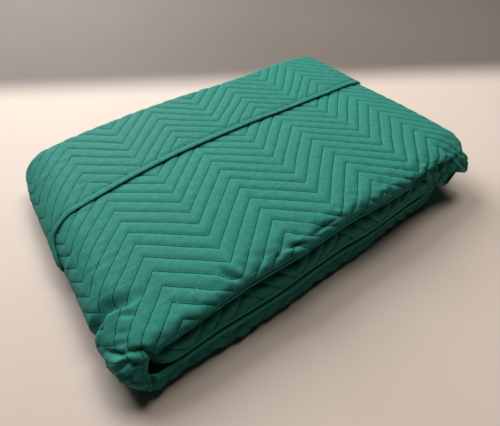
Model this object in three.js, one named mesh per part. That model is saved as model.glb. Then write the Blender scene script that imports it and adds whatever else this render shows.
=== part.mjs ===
// A quilted bedspread, folded to a flat bundle.
// Millimetres, +Z up. X is the bundle's long side, -Y its front, and it lies on the plane z = 0.
// The cloth is one closed sheet. It is first folded across Y into a strip of plies: one hem lies on top as
// a flap, the cloth goes round the back, back and forth, and its cover ply hangs down the front as a skirt.
// The strip is then folded in three along X: the top run, round the left end, the bottom run, a tight turn
// at the right, and the middle run.

import * as THREE from 'three';

// The cloth and the strip's plies
const CLOTH = 4.0;                        // thickness of the quilted cloth
const PLY = 4.85;                         // pitch of the plies in the strip
const HALF = CLOTH / 2;
const FLAP_HEM_Y = 46;                    // the flap's hem on top
const BACK_TURN_Y = 192;                  // centre line of the big turn at the back
const INNER_BACK_Y = 189;                 // centre line of the small turns at the back
const INNER_FRONT_Y = -174;               // centre line of the small turns at the front
const SKIRT_Y = -184.5;                   // middle of the cloth in the front skirt
const SKIRT_RADIUS = 9.5;                 // bend from the cover ply down into the skirt
const STRIP = 5.5 * PLY + HALF;           // thickness of the strip with the flap

// The fold in three along X
const TIGHT_RADIUS = 2;                   // inner radius of the tight turn at the right
const RUN_GAP = 3.5;                      // between the middle run and the top run
const BOTTOM_Z = STRIP;                   // inner face of the bottom run
const MIDDLE_Z = BOTTOM_Z + 2 * TIGHT_RADIUS;
const TOP_Z = MIDDLE_Z + STRIP + RUN_GAP;
const WRAP_RADIUS = (TOP_Z - BOTTOM_Z) / 2;
const TIGHT_X = 190;                      // centre line of the tight turn
const MIDDLE_END_X = -237;                // where the middle run ends, inside the left end
const DROOP_RADIUS = 700;                 // the free end of the top run bends down
const DROOP_ANGLE = THREE.MathUtils.degToRad(7.5);

// The zigzag quilting: stitch lines are valleys, with a ridge half way between two lines
const STEP_X = 12.5;                      // a twelfth of the zigzag's period
const STEP_Y = 11.8;                      // half the distance between stitch lines
const STEPS_PER_LEG = 6;                  // grid steps from one corner of the zigzag to the next
const FIRST_CORNER_X = -212;              // a corner of the zigzag that points back
const COVER_ROW_Y = -133.7;               // a stitch line's corner on the cover ply
const FLAP_ROW_Y = 11.9;                  // the same on the flap
const FLAP_SHIFT = 1;                     // grid steps between the flap's corners and the cover's
const VALLEY = -1.3;                      // depth of a stitch line, and height of a ridge
const RIDGE = 0.5;
const WRAP_SOFTNESS = 0.45;               // the quilting is drawn flatter round the left end
const TOP_STEPS = 37;                     // grid steps along the straight top run
const LAST_TOP_STEP = 34;                 // index of the top run's right end
const DROOP_STEPS = 7;
const WRAP_STEPS = 8;
const TIGHT_STEPS = 6;
const LOWER_STEPS = 6;                    // steps along each of the two hidden runs
const COARSE_EVERY = 6;                   // plies that don't show keep every sixth step of the top run
const ROW_CLEARANCE = 0.3;                // rows of the grid keep this share of a step from a ply's ends

// How the bundle has settled
const CROWN_X = 85;                       // the highest place along X
const CROWN_SPAN = 225;
const FALL_LEFT = 0.13;                   // share of the height lost one span to its left, and to its right
const FALL_RIGHT = 0.05;
const CROWN_Y = -70;                      // the highest place along Y
const CROWN_HALF_Y = 130;
const FALL_Y = 0.05;
const LOW_SHARE = 0.35;                   // at the front the lowest run takes this share of the loss
const LEAN_LEFT = -23;                    // how far the lowest run stands out at the front, left and right
const LEAN_RIGHT = 1;
const LEAN_SPAN = 450;
const LEAN_OVERRUN = 0.1;                 // share of that span by which the lean goes on past its ends
// Across the bundle: how far the left end and the free right end reach, and how much the right end droops
const PLAN = [
  { y: -189, left: 0.66, right: 0.86, droop: 0.2 },
  { y: -174, left: 0.98, right: 0.84, droop: 0.14 },
  { y: -140, left: 1.11, right: 0.985, droop: 0.05 },
  { y: 140, left: 1.05, right: 1, droop: 0 },
  { y: 192, left: 0.9, right: 1, droop: 0 },
  { y: 207, left: 0.7, right: 0.96, droop: 0.01 },
];
const PLAN_ROWS = [-140, 140];            // where every ply bends with that outline
// How far the back edge stands out along the bundle, and how far the lowest run spreads at the front
const BACK_LINE = [
  { x: -270, out: 8.5 },
  { x: -180, out: 7 },
  { x: -100, out: 4 },
  { x: -20, out: 0 },
  { x: 60, out: -6 },
  { x: 140, out: -2 },
  { x: 215, out: 8 },
  { x: 260, out: 12 },
];
const BACK_SHARE = 0.4;                   // share of the width that follows the back edge
const SPREAD = [
  { x: -237, out: 0 },
  { x: -162, out: 6 },
  { x: -127, out: 4.5 },
  { x: -22, out: 8.5 },
  { x: 83, out: 5 },
  { x: 150, out: 5.5 },
  { x: 215, out: 3 },
];
const SPREAD_POWER = 3;                   // the spread grows this fast towards the floor
const WAVE_HEIGHT = 1.6;                  // the front edge waves a little
const WAVE_LENGTH = 175;
const WAVE_TURN = 3;                      // radians by which the wave turns from the top down to the floor

// The middle of the settled bundle, which becomes the origin
const CENTRE_X = 4.085;
const CENTRE_Y = 4.795;

// Where the hems lie, by the place u along the strip: how far the skirt falls below its bend, and how far the
// flap's hem strays from a straight line. The skirt has two loose tails at the right end.
const SKIRT_HEM = [
  { u: -396, fall: 13.3 },
  { u: -310, fall: 11 },
  { u: -170, fall: 8.5 },
  { u: 200, fall: 8.5 },
  { u: 212, fall: 41 },
  { u: 228, fall: 51 },
  { u: 252, fall: 52 },
  { u: 262, fall: 44 },
  { u: 268, fall: 25 },
  { u: 282, fall: 26 },
  { u: 290, fall: 40 },
  { u: 305, fall: 38 },
];
const TAIL_START_U = 194;                 // the tails hang in front of the lower runs
const TAIL_FULL_U = 212;
const TAIL_PUSH = 8;
const FLAP_HEM = [
  { u: -330, shift: -45 },
  { u: -312, shift: -27 },
  { u: -300, shift: -14 },
  { u: -262, shift: -4 },
  { u: -173, shift: 2.4 },
  { u: -73, shift: 7 },
  { u: 108, shift: 4.7 },
  { u: 222, shift: 8.2 },
  { u: 261, shift: 15 },
  { u: 305, shift: 18 },
];
const SHIFT_END_Y = 130;                  // the flap is straight again from here back
const SHIFT_FULL_Y = 60;
const COVER_SHOWN_Y = 50;                 // the cover ply is quilted from under the flap's hem on

const WRAP_X = FIRST_CORNER_X + (LAST_TOP_STEP - TOP_STEPS) * STEP_X;
const DROOP_X = FIRST_CORNER_X + LAST_TOP_STEP * STEP_X;
const WRAP_ARC = WRAP_RADIUS + STRIP;     // radius of the left end's outer face, on which u is measured
const BOTTOM_U = WRAP_X - Math.PI * WRAP_ARC;
const RIGHT_LIMIT = DROOP_X + DROOP_RADIUS * Math.sin(DROOP_ANGLE);
const BACK_LIMIT = BACK_TURN_Y + 2.5 * PLY + HALF;
const FRONT_LIMIT = SKIRT_Y - HALF;

// The strip's plies, in order from the flap's hem. Levels are in plies from the strip's inner face.
const LEGS = [
  { name: 'flap', level: 5.5, from: FLAP_HEM_Y, to: BACK_TURN_Y, turnSteps: 5 },
  { name: 'under', level: 0.5, from: BACK_TURN_Y, to: INNER_FRONT_Y, turnSteps: 3 },
  { name: 'second', level: 1.5, from: INNER_FRONT_Y, to: INNER_BACK_Y, turnSteps: 3 },
  { name: 'third', level: 2.5, from: INNER_BACK_Y, to: INNER_FRONT_Y, turnSteps: 3 },
  { name: 'fourth', level: 3.5, from: INNER_FRONT_Y, to: INNER_BACK_Y, turnSteps: 3 },
  { name: 'cover', level: 4.5, from: INNER_BACK_Y, to: SKIRT_Y + SKIRT_RADIUS, turnSteps: 0 },
];
const SAG_START = FLAP_HEM_Y - 4;         // in front of the flap's hem the cover sags level with the flap
const SAG_END = FLAP_HEM_Y - 30;
const SAG_MIDDLE = (SAG_START + SAG_END) / 2;
// Rows for the sag, along the straight hem and along the hem of the lower runs
const SAG_ROWS = [0, FLAP_HEM[0].shift].flatMap((y) => [SAG_START + y, SAG_MIDDLE + y, SAG_END + y]);
const MIDDLE_SAG = 0.7;                   // share of that sag in the middle run
const SAG_FROM = 0.5;                     // it begins half way round the left end
const SKIRT_BEND_STEPS = 4;
const SKIRT_FALL_STEPS = 2;

// A value from a short table with rising keys, by straight lines between its rows
function between(table, key, value, column) {
  const next = table.findIndex((row) => row[key] >= value);
  if (next < 1) return table[next === 0 ? 0 : table.length - 1][column];
  const [low, high] = [table[next - 1], table[next]];
  return THREE.MathUtils.mapLinear(value, low[key], high[key], low[column], high[column]);
}

function smooth(from, to, value) {
  const t = THREE.MathUtils.clamp((value - from) / (to - from), 0, 1);
  return t * t * (3 - 2 * t);
}

// One point of the fold line: y across the strip, level n in mm, and the direction in which it travels
function foldPoint(leg, y, n, angle, extra = {}) {
  return { leg, y, n, dirY: Math.cos(angle), dirN: Math.sin(angle), ...extra };
}

// Rows of the quilting grid between two places, the ends included
function quiltRows(from, to, origin) {
  const low = Math.min(from, to);
  const high = Math.max(from, to);
  const rows = [{ y: low, row: null }];
  const first = Math.ceil((low - origin) / STEP_Y + ROW_CLEARANCE);
  const last = Math.floor((high - origin) / STEP_Y - ROW_CLEARANCE);
  for (let row = first; row <= last; row += 1) rows.push({ y: origin + row * STEP_Y, row });
  rows.push({ y: high, row: null });
  return from < to ? rows : rows.reverse();
}

// The fold line seen from one side of the cloth: +1 is the flap's upper face, -1 the cover's
function foldLine(side) {
  const line = [];
  LEGS.forEach((leg, index) => {
    const travel = leg.to > leg.from ? 0 : Math.PI;
    const n = leg.level * PLY;
    const place = (y, extra) => line.push(foldPoint(leg.name, y, n, travel, extra));
    if (leg.name === 'flap' && side > 0) {
      quiltRows(leg.from, leg.to, FLAP_ROW_Y).forEach(({ y, row }) => place(y, { row, fine: true }));
    } else if (leg.name === 'cover' && side < 0) {
      place(leg.from);
      place(PLAN_ROWS[1]);
      const rows = quiltRows(COVER_SHOWN_Y, leg.to, COVER_ROW_Y);
      rows.forEach(({ y, row }) => place(y, { row, fine: true }));
    } else {
      const sagRows = leg.name === 'cover' ? [COVER_SHOWN_Y, ...SAG_ROWS] : [];
      const rows = [...sagRows, ...PLAN_ROWS].filter((y) => (y - leg.from) * (y - leg.to) < 0);
      rows.sort((a, b) => (a - b) * Math.sign(leg.to - leg.from));
      [leg.from, ...rows, leg.to].forEach((y) => place(y));
    }
    const next = LEGS[index + 1];
    if (!next) return;
    const radius = (next.level - leg.level) * PLY / 2;
    const way = travel === 0 ? 1 : -1;
    for (let k = 1; k < leg.turnSteps; k += 1) {
      const turn = Math.PI * k / leg.turnSteps;
      const y = leg.to + way * Math.abs(radius) * Math.sin(turn);
      const angle = travel + way * Math.sign(radius) * turn;
      line.push(foldPoint('turn', y, n + radius * (1 - Math.cos(turn)), angle));
    }
  });
  const cover = LEGS[LEGS.length - 1];
  const fine = side < 0;
  for (let k = 1; k <= SKIRT_BEND_STEPS; k += 1) {
    const turn = Math.PI / 2 * k / SKIRT_BEND_STEPS;
    const y = cover.to - SKIRT_RADIUS * Math.sin(turn);
    const n = cover.level * PLY - SKIRT_RADIUS * (1 - Math.cos(turn));
    line.push(foldPoint('skirt', y, n, Math.PI + turn, { fine }));
  }
  const bendEnd = cover.level * PLY - SKIRT_RADIUS;
  for (let k = 1; k <= SKIRT_FALL_STEPS; k += 1) {
    const fall = k / SKIRT_FALL_STEPS;
    line.push(foldPoint('skirt', SKIRT_Y, bendEnd, 1.5 * Math.PI, { fine: true, fall }));
  }
  let along = 0;
  return line.map((point, index) => {
    const last = line[Math.max(index - 1, 0)];
    along += Math.hypot(point.y - last.y, point.n - last.n) + (point.fall ?? 0);
    return { ...point, along, offY: -side * point.dirN * HALF, offN: side * point.dirY * HALF };
  });
}

// Stations along the strip, from the free end at the top right to the end of the middle run.
// sag says how far the cover ply sags away from the plies behind it, u is the place in the tables of hems.
function stripStations() {
  const stations = [];
  for (let k = 0; k <= DROOP_STEPS; k += 1) {
    const turn = DROOP_ANGLE * (1 - k / DROOP_STEPS);
    const x = DROOP_X + DROOP_RADIUS * Math.sin(turn);
    const z = TOP_Z - DROOP_RADIUS * (1 - Math.cos(turn));
    const step = LAST_TOP_STEP + DROOP_STEPS - k;
    const coarse = k % 2 === 1 || k === 0;
    const flat = k === 0 ? 1 : 0;
    const u = DROOP_X + DROOP_RADIUS * turn;
    stations.push({ u, x, z, outX: Math.sin(turn), outZ: Math.cos(turn), step, coarse, sag: 0, flat });
  }
  for (let k = 1; k < TOP_STEPS; k += 1) {
    const step = LAST_TOP_STEP - k;
    const coarse = k % COARSE_EVERY === 0;
    const x = DROOP_X - k * STEP_X;
    stations.push({ u: x, x, z: TOP_Z, outX: 0, outZ: 1, step, coarse, sag: 0 });
  }
  const wrapZ = (TOP_Z + BOTTOM_Z) / 2;
  for (let k = 0; k <= WRAP_STEPS; k += 1) {
    const turn = Math.PI * k / WRAP_STEPS;
    const outX = -Math.sin(turn);
    const outZ = Math.cos(turn);
    const place = { x: WRAP_X + WRAP_RADIUS * outX, z: wrapZ + WRAP_RADIUS * outZ };
    const step = LAST_TOP_STEP - TOP_STEPS - k;
    const low = smooth(SAG_FROM, 1, k / WRAP_STEPS);
    const flat = Math.max(low, WRAP_SOFTNESS * Math.min(1, k));
    const u = WRAP_X - WRAP_ARC * turn;
    stations.push({ ...place, u, outX, outZ, step, coarse: true, sag: low, flat });
  }
  const u = BOTTOM_U;
  for (let k = 1; k < LOWER_STEPS; k += 1) {
    const x = THREE.MathUtils.lerp(WRAP_X, TIGHT_X, k / LOWER_STEPS);
    stations.push({ u, x, z: BOTTOM_Z, outX: 0, outZ: -1, coarse: true, sag: 1 });
  }
  for (let k = 0; k <= TIGHT_STEPS; k += 1) {
    const turn = Math.PI * k / TIGHT_STEPS;
    const outX = Math.sin(turn);
    const outZ = -Math.cos(turn);
    const x = TIGHT_X + TIGHT_RADIUS * outX;
    const z = BOTTOM_Z + TIGHT_RADIUS + TIGHT_RADIUS * outZ;
    const sag = THREE.MathUtils.lerp(1, MIDDLE_SAG, k / TIGHT_STEPS);
    stations.push({ u, x, z, outX, outZ, coarse: true, sag });
  }
  for (let k = 1; k <= LOWER_STEPS; k += 1) {
    const x = THREE.MathUtils.lerp(TIGHT_X, MIDDLE_END_X, k / LOWER_STEPS);
    stations.push({ u, x, z: MIDDLE_Z, outX: 0, outZ: 1, coarse: true, sag: MIDDLE_SAG });
  }
  return stations;
}

// Height of the quilting above the cloth's face. Under the flap's hem the cover ply has no ridges.
function relief(point, station, hemShift) {
  if (station.step === undefined || point.row === undefined || point.row === null) return 0;
  const step = point.leg === 'flap' ? station.step + FLAP_SHIFT : station.step;
  const onStitch = (step + point.row) % 2 === 0;
  const pressed = point.leg === 'cover' && point.y > FLAP_HEM_Y + hemShift - STEP_Y;
  const ridge = pressed ? 0 : RIDGE;
  return (onStitch ? VALLEY : ridge) * (1 - (station.flat ?? 0));
}

// The settled shape: a low crown, rounded left corners and lower runs that lean out at the front
function settle(x, y, z) {
  const endX = THREE.MathUtils.clamp(x, WRAP_X, DROOP_X);
  const settledX = endX + (x - endX) * between(PLAN, 'y', y, x < endX ? 'left' : 'right');
  const droop = between(PLAN, 'y', y, 'droop') * smooth(DROOP_X, RIGHT_LIMIT, x);
  const fall = x < CROWN_X ? FALL_LEFT : FALL_RIGHT;
  const acrossY = THREE.MathUtils.clamp((y - CROWN_Y) / CROWN_HALF_Y, -1, 1);
  const height = (1 - fall * ((x - CROWN_X) / CROWN_SPAN) ** 2) * (1 - FALL_Y * acrossY ** 2) * (1 - droop);
  const front = THREE.MathUtils.clamp((PLAN_ROWS[0] - y) / (PLAN_ROWS[0] - INNER_FRONT_Y), 0, 1);
  const lowShare = THREE.MathUtils.lerp(1, LOW_SHARE, front);
  const lowHeight = 1 - lowShare * (1 - height);
  const upperHeight = (height * (TOP_Z + STRIP) - lowHeight * MIDDLE_Z) / (TOP_Z + STRIP - MIDDLE_Z);
  const settledZ = lowHeight * Math.min(z, MIDDLE_Z) + upperHeight * Math.max(z - MIDDLE_Z, 0);
  const low = 1 - z / (TOP_Z + STRIP);
  const along = THREE.MathUtils.clamp((x - MIDDLE_END_X) / LEAN_SPAN, -LEAN_OVERRUN, 1 + LEAN_OVERRUN);
  const lean = THREE.MathUtils.lerp(LEAN_LEFT, LEAN_RIGHT, along) * low;
  const forward = (BACK_LIMIT - y) / (BACK_LIMIT - FRONT_LIMIT);
  const back = between(BACK_LINE, 'x', x, 'out') * Math.max(0, 1 - forward / BACK_SHARE);
  const wave = WAVE_HEIGHT * Math.sin(2 * Math.PI * x / WAVE_LENGTH + WAVE_TURN * low) * forward;
  const spread = between(SPREAD, 'x', x, 'out') * low ** SPREAD_POWER * forward;
  const settledY = y + lean * forward + wave - spread + back;
  return new THREE.Vector3(settledX - CENTRE_X, settledY - CENTRE_Y, settledZ);
}

function clothPoint(point, station) {
  const covered = point.leg === 'cover' || point.leg === 'skirt';
  const shift = between(FLAP_HEM, 'u', station.u, 'shift');
  const shifted = point.leg === 'flap' ? smooth(SHIFT_END_Y, SHIFT_FULL_Y, point.y) : 0;
  const fall = point.fall ?? 0;
  const n = point.n - fall * between(SKIRT_HEM, 'u', station.u, 'fall');
  const push = fall * TAIL_PUSH * smooth(TAIL_START_U, TAIL_FULL_U, station.u);
  const sag = covered ? station.sag * PLY * smooth(SAG_START + shift, SAG_END + shift, point.y) : 0;
  const level = point.leg === 'skirt' ? n / (LEGS[LEGS.length - 1].level * PLY) : 1;
  const raise = relief(point, station, shift) / HALF;
  const out = n + sag * level + point.offN * (1 + raise);
  const y = point.y + shifted * shift - push + point.offY * (1 + raise);
  return settle(station.x + out * station.outX, y, station.z + out * station.outZ);
}

// Which way the zigzag runs between a station and the next one
function risesWithY(leg, step) {
  if (step === undefined) return true;
  const corner = step - 1 + (leg === 'flap' ? FLAP_SHIFT : 0);
  return Math.floor(corner / STEPS_PER_LEG) % 2 === 0;
}

// Triangles between two neighbouring rows, each with its own stations
function zipRows(rowA, rowB, stations, triangles) {
  const a = rowA.points;
  const b = rowB.points;
  let i = 0;
  let j = 0;
  while (i + 1 < a.length || j + 1 < b.length) {
    const nextA = i + 1 < a.length ? a[i + 1].at : Infinity;
    const nextB = j + 1 < b.length ? b[j + 1].at : Infinity;
    if (nextA === nextB) {
      const rising = !rowA.fine || !rowB.fine || risesWithY(rowA.leg, stations[a[i].at].step);
      if (rising === rowA.y <= rowB.y) {
        triangles.push([a[i].id, b[j + 1].id, a[i + 1].id], [a[i].id, b[j].id, b[j + 1].id]);
      } else {
        triangles.push([a[i].id, b[j].id, a[i + 1].id], [a[i + 1].id, b[j].id, b[j + 1].id]);
      }
      i += 1;
      j += 1;
    } else if (nextA < nextB) {
      triangles.push([a[i].id, b[j].id, a[i + 1].id]);
      i += 1;
    } else {
      triangles.push([a[i].id, b[j].id, b[j + 1].id]);
      j += 1;
    }
  }
}

// Triangles that close the cloth at one end of the strip
function closeEnd(left, right, pick, triangles, flip) {
  let i = 0;
  let j = 0;
  const add = (p, q, r) => triangles.push(flip ? [p, r, q] : [p, q, r]);
  while (i + 1 < left.length || j + 1 < right.length) {
    const nextLeft = i + 1 < left.length ? left[i + 1].along : Infinity;
    const nextRight = j + 1 < right.length ? right[j + 1].along : Infinity;
    if (nextLeft <= nextRight) {
      add(pick(left[i]), pick(left[i + 1]), pick(right[j]));
      i += 1;
    } else {
      add(pick(left[i]), pick(right[j + 1]), pick(right[j]));
      j += 1;
    }
  }
}

function foldedCloth() {
  const stations = stripStations();
  const positions = [];
  const makeRow = (point) => {
    const points = [];
    stations.forEach((station, at) => {
      if (!point.fine && !station.coarse) return;
      const place = clothPoint(point, station);
      points.push({ at, id: positions.length / 3 });
      positions.push(place.x, place.y, place.z);
    });
    return { points, leg: point.leg, along: point.along, y: point.y, fine: point.fine };
  };
  const left = foldLine(1).map(makeRow);
  const right = foldLine(-1).map(makeRow);
  const loop = [...left, ...[...right].reverse()];
  const triangles = [];
  loop.forEach((row, index) => zipRows(row, loop[(index + 1) % loop.length], stations, triangles));
  closeEnd(left, right, (row) => row.points[0].id, triangles, true);
  closeEnd(left, right, (row) => row.points[row.points.length - 1].id, triangles, false);

  const geometry = new THREE.BufferGeometry();
  geometry.setAttribute('position', new THREE.Float32BufferAttribute(positions, 3));
  geometry.setIndex(triangles.flat());
  geometry.computeVertexNormals();
  return geometry;
}

const teal = new THREE.MeshStandardMaterial({ color: 0x2f8f7c, roughness: 0.62, metalness: 0 });

const bedspread = new THREE.Group();
const cloth = new THREE.Mesh(foldedCloth(), teal);
cloth.name = 'quilted_cloth';
bedspread.add(cloth);

export default bedspread;
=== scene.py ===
import math

import bpy
import numpy as np
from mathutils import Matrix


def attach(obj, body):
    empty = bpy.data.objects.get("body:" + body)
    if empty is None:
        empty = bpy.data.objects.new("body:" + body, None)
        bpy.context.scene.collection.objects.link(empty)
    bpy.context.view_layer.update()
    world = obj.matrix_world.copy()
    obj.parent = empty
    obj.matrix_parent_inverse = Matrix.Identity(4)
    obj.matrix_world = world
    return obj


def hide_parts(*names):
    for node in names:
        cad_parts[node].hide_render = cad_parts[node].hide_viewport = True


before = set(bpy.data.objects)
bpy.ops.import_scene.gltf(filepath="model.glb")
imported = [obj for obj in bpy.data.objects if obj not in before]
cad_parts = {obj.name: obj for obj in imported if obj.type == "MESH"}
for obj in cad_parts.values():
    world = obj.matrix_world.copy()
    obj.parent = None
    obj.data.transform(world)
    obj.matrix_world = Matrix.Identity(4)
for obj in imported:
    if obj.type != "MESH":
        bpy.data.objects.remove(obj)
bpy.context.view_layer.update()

# A quilted bedspread, folded to a flat bundle. The sizes are the part's own, in millimetres, and each mesh
# is turned to metres as it is made. u runs along the folded strip and v across it, both on the cloth's face.
MM = 0.001

# The cloth and the strip's plies, whose levels are counted from its inner face
CLOTH = 4.0
PLY = 4.85
HALF = CLOTH / 2
COVER_LEVEL = 4.5 * PLY
FLAP_LEVEL = 5.5 * PLY
STRIP = FLAP_LEVEL + HALF
FLAP_HEM_Y = 46.0
FLAP_EDGE_Y = FLAP_HEM_Y + HALF
BACK_TURN_Y = 192.0
BACK_RADIUS = 2.5 * PLY
INNER_BACK_Y = 189.0
INNER_FRONT_Y = -174.0
SKIRT_Y = -184.5
SKIRT_RADIUS = 9.5
SKIRT_FALL = 24.0

# The fold in three along X
TIGHT_RADIUS = 2.0
RUN_GAP = 3.5
BOTTOM_Z = STRIP
MIDDLE_Z = BOTTOM_Z + 2 * TIGHT_RADIUS
TOP_Z = MIDDLE_Z + STRIP + RUN_GAP
FULL_Z = TOP_Z + STRIP
WRAP_RADIUS = (TOP_Z - BOTTOM_Z) / 2
TIGHT_X = 190.0
HIDDEN_END_X = -260.0
DROOP_RADIUS = 700.0
DROOP_ANGLE = math.radians(7.5)
WRAP_X = -249.5
DROOP_X = 213.0
RIGHT_LIMIT = DROOP_X + DROOP_RADIUS * math.sin(DROOP_ANGLE)
BACK_LIMIT = BACK_TURN_Y + BACK_RADIUS + HALF
FRONT_LIMIT = SKIRT_Y - HALF

# How the bundle has settled
CROWN_X = 85.0
CROWN_SPAN = 225.0
FALL_LEFT = 0.13
FALL_RIGHT = 0.05
CROWN_Y = -70.0
CROWN_HALF_Y = 130.0
FALL_Y = 0.05
LEAN_X = -237.0
LEAN_LEFT = -23.0
LEAN_RIGHT = 1.0
LEAN_SPAN = 450.0
LEAN_OVERRUN = 0.1
PLAN_Y = (-189.0, -174.0, -160.0, -140.0, 140.0, 192.0, 207.0)
PLAN_LEFT = (0.66, 0.98, 1.045, 1.11, 1.05, 0.9, 0.7)
PLAN_RIGHT = (0.8, 0.8, 0.93, 1.005, 1.025, 1.01, 0.9)
PLAN_DROOP = (0.2, 0.14, 0.09, 0.05, 0.0, 0.0, 0.01)
PLAN_ROWS = (-140.0, 140.0)
BACK_X = (-270.0, -180.0, -100.0, -20.0, 60.0, 140.0, 215.0, 260.0, 305.0)
BACK_OUT = (8.5, 7.0, 4.0, 0.0, -6.0, -2.0, 8.0, 12.0, 12.0)
BACK_SHARE = 0.4
WAVE_HEIGHT = 1.6
WAVE_LENGTH = 175.0
WAVE_TURN = 3.0
SPREAD_X = (-237.0, -162.0, -127.0, -22.0, 83.0, 150.0, 215.0)
SPREAD = (0.0, 6.0, 4.5, 8.5, 5.0, 5.5, 3.0)
SPREAD_POWER = 3
CENTRE_X = 4.085
CENTRE_Y = 4.795
LOW_SHARE = 0.35

# In front of the flap's hem the cover of the lower runs sags to the flap's level
SAG_START = FLAP_HEM_Y - 4
SAG_END = FLAP_HEM_Y - 30
SAG_FROM = 0.5
MIDDLE_SAG = 0.7

# Where each run of the strip begins on the u scale, which falls from the free end to the hidden one
WRAP_ARC = WRAP_RADIUS + STRIP
TIGHT_ARC = TIGHT_RADIUS + STRIP
U_FREE = DROOP_X + DROOP_RADIUS * DROOP_ANGLE
U_WRAP = WRAP_X
U_BOTTOM = U_WRAP - math.pi * WRAP_ARC
U_TIGHT = U_BOTTOM - (TIGHT_X - WRAP_X)
U_MIDDLE = U_TIGHT - math.pi * TIGHT_ARC
U_HIDDEN = U_MIDDLE - (TIGHT_X - HIDDEN_END_X)
# From here on the cloth is on its way under the bundle
U_LOWER = U_BOTTOM + 40.0

# The zigzag quilting. The mesh has a row of points on each stitch line, GRID of them to a leg of the zigzag.
# Each face has its own zigzag: a corner that points back, the length of a leg along u, the corner's row.
GRID = 30
RISE = 70.8
SPACING = 23.6
COVER_CORNER = -212.0
COVER_LEG = 75.0
COVER_ROW = -133.7
FLAP_CORNER = -221.0
FLAP_LEG = 73.4
FLAP_ROW = 11.9
ZIGZAG = {"cover": (COVER_CORNER, COVER_LEG, COVER_ROW), "flap": (FLAP_CORNER, FLAP_LEG, FLAP_ROW)}
ROW_STEP = RISE / GRID
LINE_SPACING = SPACING * COVER_LEG / math.hypot(COVER_LEG, RISE)
STITCH = 4.3
# How far from their edges the flap's hem, on a row of the mesh, and the skirt's hem are stitched
HEM_ROWS = 19
HEM_BAND = HEM_ROWS * ROW_STEP + FLAP_ROW - FLAP_HEM_Y
SKIRT_BAND = 6.5

# The hem of the flap as it lies: how far it strays from its straight line along the bundle
HEM_LINE_U = (-335.0, -325.0, -312.0, -300.0, -262.0, -173.0, -73.0, 108.0, 165.0, 222.0, 261.0, 305.0)
HEM_LINE_SHIFT = (-50.0, -45.0, -29.0, -14.0, -4.0, 2.4, 7.0, 4.7, 7.8, 8.2, 15.0, 18.0)
SHIFT_END_Y = 130.0
SHIFT_FULL_Y = 60.0


# 0 up to the start and 1 from the end on, with a soft change between
def smooth(start, end, value):
    t = np.clip((value - start) / (end - start), 0.0, 1.0)
    return t * t * (3.0 - 2.0 * t)


# 1 in the middle of a span and 0 outside it, with soft ends. Its four limits rise.
def within(limits, value):
    start, full, full_end, end = limits
    return smooth(start, full, value) * smooth(end, full_end, value)


def mixed(low, high, share):
    return low + (high - low) * share


def bump(middle, half_width, value):
    return np.exp(-(((value - middle) / half_width) ** 2))


# Soft unevenness: a seeded sum of waves, each with its own direction and length. Each kind has a usual
# length across and along, and a seed.
WAVES = 14
PUCKERS = (11.0, 70.0, 11)
PUCKER_PATCHES = (90.0, 120.0, 12)
DIMPLES = (38.0, 46.0, 13)
HEM_RIPPLES = (6.0, 60.0, 14)
GATHERS = (30.0, 17.0, 15)
STRAYING = (120.0, 140.0, 21)


def uneven(across, along, kind):
    length_across, length_along, seed = kind
    dice = np.random.default_rng(seed)
    total = np.zeros(np.broadcast(across, along).shape)
    for _ in range(WAVES):
        turns = dice.normal(size=2)
        start = dice.uniform(0.0, 2 * math.pi)
        cycles = turns[0] * across / length_across + turns[1] * along / length_along
        total += np.sin(2 * math.pi * cycles + start)
    return total / math.sqrt(WAVES)


# The strip's path: where its inner face lies at u, which way it looks out, and how much the cover sags there
def strip_place(u):
    droop = np.clip((u - DROOP_X) / DROOP_RADIUS, 0.0, None)
    wrap = np.clip((U_WRAP - u) / WRAP_ARC, 0.0, math.pi)
    tight = np.clip((U_TIGHT - u) / TIGHT_ARC, 0.0, math.pi)
    runs = [u > DROOP_X, u > U_WRAP, u > U_BOTTOM, u > U_TIGHT, u > U_MIDDLE]
    x = np.select(
        runs,
        [
            DROOP_X + DROOP_RADIUS * np.sin(droop),
            u,
            WRAP_X - WRAP_RADIUS * np.sin(wrap),
            WRAP_X + U_BOTTOM - u,
            TIGHT_X + TIGHT_RADIUS * np.sin(tight),
        ],
        TIGHT_X - U_MIDDLE + u,
    )
    z = np.select(
        runs,
        [
            TOP_Z - DROOP_RADIUS * (1 - np.cos(droop)),
            TOP_Z + 0 * u,
            (TOP_Z + BOTTOM_Z) / 2 + WRAP_RADIUS * np.cos(wrap),
            BOTTOM_Z + 0 * u,
            BOTTOM_Z + TIGHT_RADIUS * (1 - np.cos(tight)),
        ],
        MIDDLE_Z,
    )
    out_x = np.select(runs, [np.sin(droop), 0 * u, -np.sin(wrap), 0 * u, np.sin(tight)], 0.0)
    out_z = np.select(runs, [np.cos(droop), 0 * u + 1, np.cos(wrap), 0 * u - 1, -np.cos(tight)], 1.0)
    sag = smooth(SAG_FROM, 1.0, wrap / math.pi) * mixed(1.0, MIDDLE_SAG, tight / math.pi)
    return x, z, out_x, out_z, sag


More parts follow.
